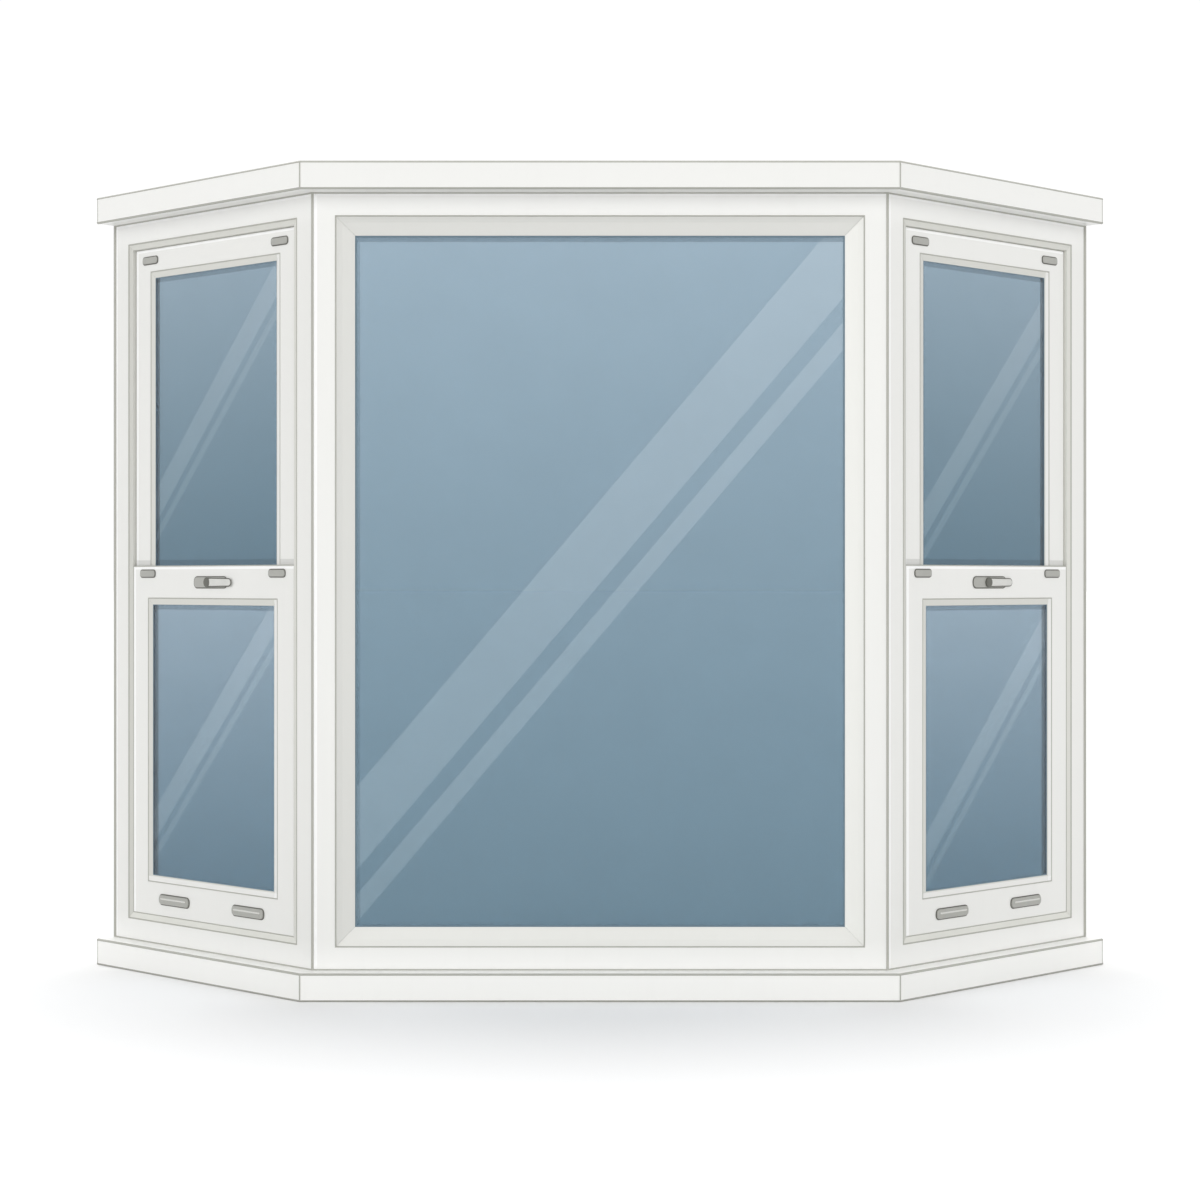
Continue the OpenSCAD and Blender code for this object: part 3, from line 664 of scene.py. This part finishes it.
# The color of one pane is the root of the light that both panes together let through
def paneColor(display):
    linear = np.array(display) ** glassLook["screenGamma"]
    through = (linear - glassLook["mirror"]) / glassLook["backdrop"]
    return (*np.sqrt(np.clip(through, glassLook["least"], 1)).tolist(), 1)


# Slope of the bands, then low and high of the wide band and of the narrow one, in metres from
# the middle of the bay's height
glassBands = {
    "center_glass": (1.177, -0.0055, 0.1568, -0.1069, -0.0529),
    "left_upper_glass": (1.086, 0.3431, 0.4130, 0.2992, 0.3222),
    "left_lower_glass": (1.086, -0.3229, -0.2565, -0.3645, -0.3424),
    "right_upper_glass": (1.086, 0.2995, 0.3695, 0.2557, 0.2792),
    "right_lower_glass": (1.086, -0.3470, -0.2802, -0.3886, -0.3663),
}


def glass(name):
    side, *words = name.split("_")
    part = "center" if side == "center" else words[0]
    own = paneLook[part]
    material, tree, shader = newMaterial(side + "".join(word.title() for word in words))
    low, high = localBox(name, side)
    cover = own["cover"]
    slope, *ends = glassBands[name]
    wideLow, wideHigh, narrowLow, narrowHigh = (end + middleZ - frameLow for end in ends)
    out = addGroup(tree, tintTree, {
        "Vector": unitVector(tree, side), "Middle": (low[0] + high[0]) / 2,
        "Half Width": (high[0] - low[0]) / 2 - cover, "Low": low[2] + cover,
        "High": high[2] - cover, "Hand": -1.0 if side == "left" else 1.0,
        "Top Color": paneColor(glassLook[part + "Top"]),
        "Bottom Color": paneColor(glassLook[part + "Bottom"]),
        "Shade Color": (*glassLook["shade"], 1), "Slope": slope,
        "Wide Low": wideLow, "Wide High": wideHigh, "Wide Gain": own["wideGain"],
        "Narrow Low": narrowLow, "Narrow High": narrowHigh, "Narrow Gain": own["narrowGain"],
        "Top Strip": own["topStrip"], "Side Strip": own["sideStrip"],
        "Rail Shade": own["railShade"], "Back Pane": (low[1] + high[1]) / 2,
        "Fade Curve": own["fadeCurve"]})
    tree.links.new(out["Color"], shader.inputs["Base Color"])
    shader.inputs["Transmission Weight"].default_value = 1.0
    shader.inputs["Roughness"].default_value = glassLook["roughness"]
    shader.inputs["IOR"].default_value = glassLook["ior"]
    shader.inputs["Specular IOR Level"].default_value = glassLook["specular"]
    clear = addNode(tree, "ShaderNodeBsdfTransparent", {0: (*glassLook["shadowTint"], 1)})
    path = addNode(tree, "ShaderNodeLightPath")
    mixed = addNode(tree, "ShaderNodeMixShader", {
        0: path.outputs["Is Shadow Ray"], 1: shader.outputs[0], 2: clear.outputs[0]})
    tree.links.new(mixed.outputs[0], tree.nodes["Material Output"].inputs["Surface"])
    paint([name], material)


for name in glassBands:
    glass(name)
print("glass done")

# Sizes in metres. edge and crown: radius of a plate's rounded edge, and rise of its dome
latch = {"length": 0.0505, "height": 0.0135, "corner": 0.0052, "thickness": 0.0034,
         "edge": 0.0012, "crown": 0.0006,
         "fromSide": 0.027, "upperDrop": 0.024, "lowerDrop": 0.015}
lift = {"length": 0.101, "height": 0.0192, "corner": 0.0078, "thickness": 0.005,
        "edge": 0.0018, "crown": 0.0008, "fromMiddle": 0.124, "fromFoot": 0.0345}
lip = {"length": 0.086, "height": 0.0036, "corner": 0.00178, "thickness": 0.0062,
       "edge": 0.0012, "crown": 0.0003, "rise": 0.0018}
lock = {"length": 0.108, "height": 0.021, "corner": 0.0088, "thickness": 0.003,
        "edge": 0.0014, "crown": 0.0004, "drop": 0.033}
pivot = {"out": 0.007, "radius": 0.0098, "foot": 0.0062, "rise": 0.0006}
lever = {"length": 0.0855, "height": 0.0150, "corner": 0.0068, "thickness": 0.0026,
         "edge": 0.0012, "crown": 0.0005, "taper": 0.12, "gap": 0.0004, "skirtShare": 0.6}
skirt = {"width": 0.0020, "height": 0.0008, "sides": 8}  # the dark cord round a fitting's foot


def plate(size):
    return plateRings(size["length"] / 2, size["height"] / 2, size["corner"], size["thickness"],
                      size["edge"], size["crown"])


# A flat oval cord that lies against the sash round a plate's foot: at turn t it stands out by
# width * (1 + cos t) / 2 and up by height * (1 + sin t)
def skirtRings(size):
    halfLength, halfHeight, corner = size["length"] / 2, size["height"] / 2, size["corner"]
    flat = roundedOutline(halfLength, halfHeight, corner)
    wide = skirt["width"]
    away = roundedOutline(halfLength + wide, halfHeight + wide, corner + wide) - flat
    t = np.linspace(0, 2 * np.pi, skirt["sides"], endpoint=False)
    ring = flat[:, None] + away[:, None] * (1 + np.cos(t))[None, :, None] / 2
    height = np.repeat(skirt["height"] * (1 + np.sin(t))[None], len(flat), 0)
    return np.stack([ring[..., 0], -height, ring[..., 1]], -1)


# The lever reaches from half its height behind the pivot to its tip, and narrows on the way
def leverShape(rings, toRight):
    reach = (lever["length"] - lever["height"]) / 2
    along = rings[..., 0] + reach
    run = np.clip(along / (lever["length"] - lever["height"] / 2), 0, 1)
    return np.stack([along * toRight, rings[..., 1] - lock["thickness"] - lever["gap"],
                     rings[..., 2] * (1 - lever["taper"] * run)], -1)


def fittings(side):
    upperLow, upperHigh = localBox(side + "_upper_sash", side)
    lowerLow, lowerHigh = localBox(side + "_lower_sash", side)
    middle = (lowerLow[0] + lowerHigh[0]) / 2
    toRight = -1.0 if side == "left" else 1.0  # the viewer's right, along the unit's X
    rims = []

    def addPlate(lofts, size, at):
        lofts.append(placed(plate(size), at, side))
        rims.append(placed(skirtRings(size), at, side, True))

    latches, lifts, lips, bases = [], [], [], []
    inset = latch["fromSide"] + latch["length"] / 2
    for low, high, drop in ((upperLow, upperHigh, latch["upperDrop"]),
                            (lowerLow, lowerHigh, latch["lowerDrop"])):
        for x in (low[0] + inset, high[0] - inset):
            addPlate(latches, latch, (x, low[1], high[2] - drop))
    makePiece(side + "_tilt_latch_covers", latches, fittingMetal,
              replaced=side + "_tilt_latches")
    for x in (middle - lift["fromMiddle"], middle + lift["fromMiddle"]):
        at = np.array([x, lowerLow[1], lowerLow[2] + lift["fromFoot"]])
        addPlate(lifts, lift, at)
        lips.append(placed(plate(lip), at + (0, 0, lip["rise"]), side))
    makePiece(side + "_finger_pulls", lifts, fittingMetal,
              replaced=side + "_finger_lifts")
    # The lips take the paler lever metal, which is a painted highlight along each pull
    makePiece(side + "_finger_pull_lips", lips, leverMetal)
    at = np.array([middle, lowerLow[1], lowerHigh[2] - lock["drop"]])
    addPlate(bases, lock, at)
    makePiece(side + "_lock_plate", bases, fittingMetal,
              replaced=side + "_lock_base")
    at = at - (toRight * pivot["out"], 0, 0)
    dome = domeRings(pivot["radius"], pivot["foot"], pivot["rise"])
    makePiece(side + "_lock_pivot", [placed(dome, at, side)], rimMetal)
    makePiece(side + "_lock_handle", [placed(leverShape(plate(lever), toRight), at, side)],
              leverMetal, replaced=side + "_lock_lever")
    edge = skirtRings(lever) * (1, lever["skirtShare"], 1)
    rims.append(placed(leverShape(edge, toRight), at, side, True))
    makePiece(side + "_fitting_skirts", rims, rimMetal)


for side in ("left", "right"):
    fittings(side)
print("fittings done")

# Low domed caps that close the fixing holes on the room side of the wall jambs
cap = {"radius": 0.0078, "foot": 0.0012, "rise": 0.0014, "fixingHeights": (-0.6, -0.2, 0.2, 0.6)}


def fixingCaps():
    depth = (jambHigh.y + toWorld((sideWidth, frameDepth, 0), "right")[1]) / 2
    for side, turn in (("left", -1), ("right", 1)):
        dome = domeRings(cap["radius"], cap["foot"], cap["rise"])
        lofts = [(np.stack([turn * (jambLow.x + dome[..., 1]), dome[..., 0] + depth,
                            dome[..., 2] + middleZ + height], -1), False)
                 for height in cap["fixingHeights"]]
        makePiece(side + "_fixing_caps", lofts, postMaterial)


fixingCaps()

# Sizes in metres. short: how far a strip ends before a board's edge. mitreSink: how far in the
# cord on a mitre lies.
trim = {"width": 0.0036, "bevel": 0.0016, "proud": 0.00025, "short": 0.001,
        "mitre": 0.0013, "mitreSink": 0.0004, "mitreSides": 12}
# Radii of the cords, how far behind a face they lie, and how far they stand off a sash or a pane
seam = {"frame": 0.0014, "frameSink": 0.0008, "sash": 0.0011, "sashSink": 0.0012,
        "beadSink": 0.0008, "sashGap": 0.0005, "paneEdge": 0.004, "overRail": 0.002}
# Radii of the cords at the corners, at the bay's ends, on the room side and along the boards
seal = {"corner": 0.0026, "cornerSink": 0.0004, "end": 0.0036, "room": 0.0024,
        "board": 0.0024, "short": 0.0004, "sides": 12}


# An L-shaped strip folded over a bevelled edge: right on the path's corner, its legs run inwards
# by width, and its outer skin stands proud of both faces.
def edgeStrip():
    w, b, t = trim["width"], trim["bevel"], trim["proud"]
    return [(t, -w), (t, -b), (-b, t), (-w, t), (-w, -t), (-b - t, -t), (-t, -b - t), (-t, -w)]


def outward(side):  # the direction that a unit's face looks in
    return toWorld((0, -1, 0), side) - toWorld((0, 0, 0), side)


def boardTrims(board, name):
    low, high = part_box(board)
    out = faceY - low.y  # how far the center fascia stands out of the frames
    front = out * mitreSlope
    plan = [(sideWidth, -out, 0), (-front, -out, 0)]
    line = np.concatenate([toWorld(plan, "left"), toWorld(plan[::-1], "right")])[:, :2]
    lofts = []
    for z, turn in ((high.z, 1), (low.z, -1)):
        path = np.column_stack([line, np.full(4, z)])
        lofts.append(sweep(path, (0, 0, turn), [(p * turn, q) for p, q in edgeStrip()]))
    foot, top = (z - frameLow for z in (low.z + trim["short"], high.z - trim["short"]))
    for side, turn in (("left", -1), ("right", 1)):
        ends = toWorld([(sideWidth, -out, foot), (sideWidth, -out, top)], side)
        lofts.append(sweep(ends, outward(side), [(p * turn, q) for p, q in edgeStrip()]))
        ends = toWorld([(-front, -out, foot), (-front, -out, top)], side)
        lofts.append(sweep(ends, (0, -1, 0), roundProfile(
            trim["mitre"], trim["mitreSides"], (0, -trim["mitreSink"]))))
    makePiece(name, lofts, sealant)


boardTrims("sill_fascia_center", "sill_edge_trim")
boardTrims("head_fascia_center", "head_edge_trim")


# A thin cord round a rectangle of a unit, or up, over and down where the foot is left open
def frameLine(side, low, high, radius, depth, openFoot=False):
    path = toWorld([(low[0], depth, low[2]), (low[0], depth, high[2]),
                    (high[0], depth, high[2]), (high[0], depth, low[2])], side)
    return sweep(path, outward(side), roundProfile(radius), not openFoot)


def makeSeal(name, lofts):
    makePiece(name, lofts, sealant, smooth=80)


def seams():
    makeSeal("frame_seams", [
        frameLine(side, *localBox(name, side), seam["frame"], seam["frameSink"])
        for side, name in (("center", "center_glazing_beads"), ("left", "left_track_liners"),
                           ("right", "right_track_liners"))])
    gap, edge = (np.array([seam[key], 0, seam[key]]) for key in ("sashGap", "paneEdge"))
    for side in ("left", "right"):
        brushes, beads = [], []
        railTop = localBox(side + "_lower_sash", side)[1][2]
        for part in ("lower", "upper"):
            low, high = localBox(f"{side}_{part}_sash", side)
            paneLow, paneHigh = localBox(f"{side}_{part}_glass", side)
            low, high, paneLow, paneHigh = low - gap, high + gap, paneLow - edge, paneHigh + edge
            upper = part == "upper"
            if upper:  # what is behind the lower sash's rail isn't seen
                low[2] = paneLow[2] = railTop + seam["overRail"]
            face = low[1]
            brushes.append(frameLine(side, low, high, seam["sash"], face + seam["sashSink"], upper))
            beads.append(frameLine(side, paneLow, paneHigh, seam["sash"],
                                   face + seam["beadSink"], upper))
        makeSeal(side + "_brush_seals", brushes)
        makeSeal(side + "_bead_seams", beads)


seams()


def cornerSeals():  # upright cords in the joints at the bay corners and at the outer ends
    lofts = []
    foot, top = seal["short"], frameHigh - frameLow - seal["short"]
    for side in ("left", "right"):
        for u, d, radius in ((0, seal["cornerSink"], seal["corner"]), (sideWidth, 0, seal["end"]),
                             (sideWidth, frameDepth, seal["room"])):
            ends = toWorld([(u, d, foot), (u, d, top)], side)
            lofts.append(sweep(ends, (0, -1, 0), roundProfile(radius, seal["sides"])))
    makeSeal("corner_seals", lofts)
    lofts = []
    for depth in (0, frameDepth):  # outside, and on the room side
        for z in (frameHigh - frameLow, 0):
            corner, end = (depth * mitreSlope, depth, z), (sideWidth, depth, z)
            path = np.concatenate([toWorld([end, corner], "left"),
                                   toWorld([corner, end], "right")])
            lofts.append(sweep(path, (0, 0, 1), roundProfile(seal["board"], seal["sides"])))
    makeSeal("board_seals", lofts)


cornerSeals()
print("seals and trims done")

studio = {
    "seen": 1.03, "ambient": 0.40, "floorWhite": 0.902, "floorBounce": 0.63, "floorSize": 400.0,
    # strength, height and turn in degrees, and softness in degrees, of each light
    "keyLight": (0.78, 18, -60, 50), "fillLight": (0.71, 18, 60, 50),
    "frontLight": (1.15, 9, 0, 60), "topLight": (2.25, 71, 180, 44),
}


def makeWorld():
    world = bpy.data.worlds.new("paleRoom")
    world.use_nodes = True
    tree = world.node_tree
    seen = tree.nodes["Background"]
    seen.inputs[0].default_value = (1, 1, 1, 1)
    seen.inputs[1].default_value = studio["seen"]
    fill = addNode(tree, "ShaderNodeBackground", {0: (1, 1, 1, 1), 1: studio["ambient"]})
    path = addNode(tree, "ShaderNodeLightPath")
    mixed = addNode(tree, "ShaderNodeMixShader", {
        0: path.outputs["Is Diffuse Ray"], 1: seen.outputs[0], 2: fill.outputs[0]})
    tree.links.new(mixed.outputs[0], tree.nodes["World Output"].inputs["Surface"])
    scene.world = world


def sunLight(name, strength, height, turn, angle):  # turn 0 shines along +Y, from the front
    data = bpy.data.lights.new(name, "SUN")
    data.energy = strength
    data.angle = math.radians(angle)
    light = bpy.data.objects.new(name, data)
    light.visible_glossy = False  # panes show the pale room and no discs of light
    light.rotation_euler = (math.radians(90 - height), 0, math.radians(turn))
    scene.collection.objects.link(light)


def makeFloor():
    half = studio["floorSize"] / 2
    mesh = bpy.data.meshes.new("floor")
    mesh.from_pydata([(-half, -half, 0), (half, -half, 0), (half, half, 0), (-half, half, 0)],
                     [], [(0, 1, 2, 3)])
    floor = bpy.data.objects.new("floor", mesh)
    scene.collection.objects.link(floor)
    material, tree, shader = newMaterial("floorPaint")
    path = addNode(tree, "ShaderNodeLightPath")
    w, b = studio["floorWhite"], studio["floorBounce"]  # the floor throws little light back up
    tone = blendColors(tree, path.outputs["Is Diffuse Ray"], (w, w, w, 1), (b, b, b, 1))
    tree.nodes.remove(shader)
    matt = addNode(tree, "ShaderNodeBsdfDiffuse", {"Color": tone})
    tree.links.new(matt.outputs[0], tree.nodes["Material Output"].inputs["Surface"])
    mesh.materials.append(material)
    floor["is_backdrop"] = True


cameraPlace = {"distance": 5.4165, "lens": 76.97, "sensor": 36, "drop": -0.01554, "far": 500}


def makeCamera():
    data = bpy.data.cameras.new("camera")
    data.lens = cameraPlace["lens"]
    data.sensor_width = cameraPlace["sensor"]
    data.shift_y = cameraPlace["drop"]
    data.clip_end = cameraPlace["far"]
    camera = bpy.data.objects.new("camera", data)
    camera.location = (0, -cameraPlace["distance"], middleZ)
    camera.rotation_euler = (math.pi / 2, 0, 0)
    scene.collection.objects.link(camera)
    scene.camera = camera


makeWorld()
for name in ("keyLight", "fillLight", "frontLight", "topLight"):
    sunLight(name, *studio[name])
makeFloor()
makeCamera()
scene.view_settings.view_transform = "Standard"
scene.view_settings.look = "None"
print("stage done")

low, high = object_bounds()
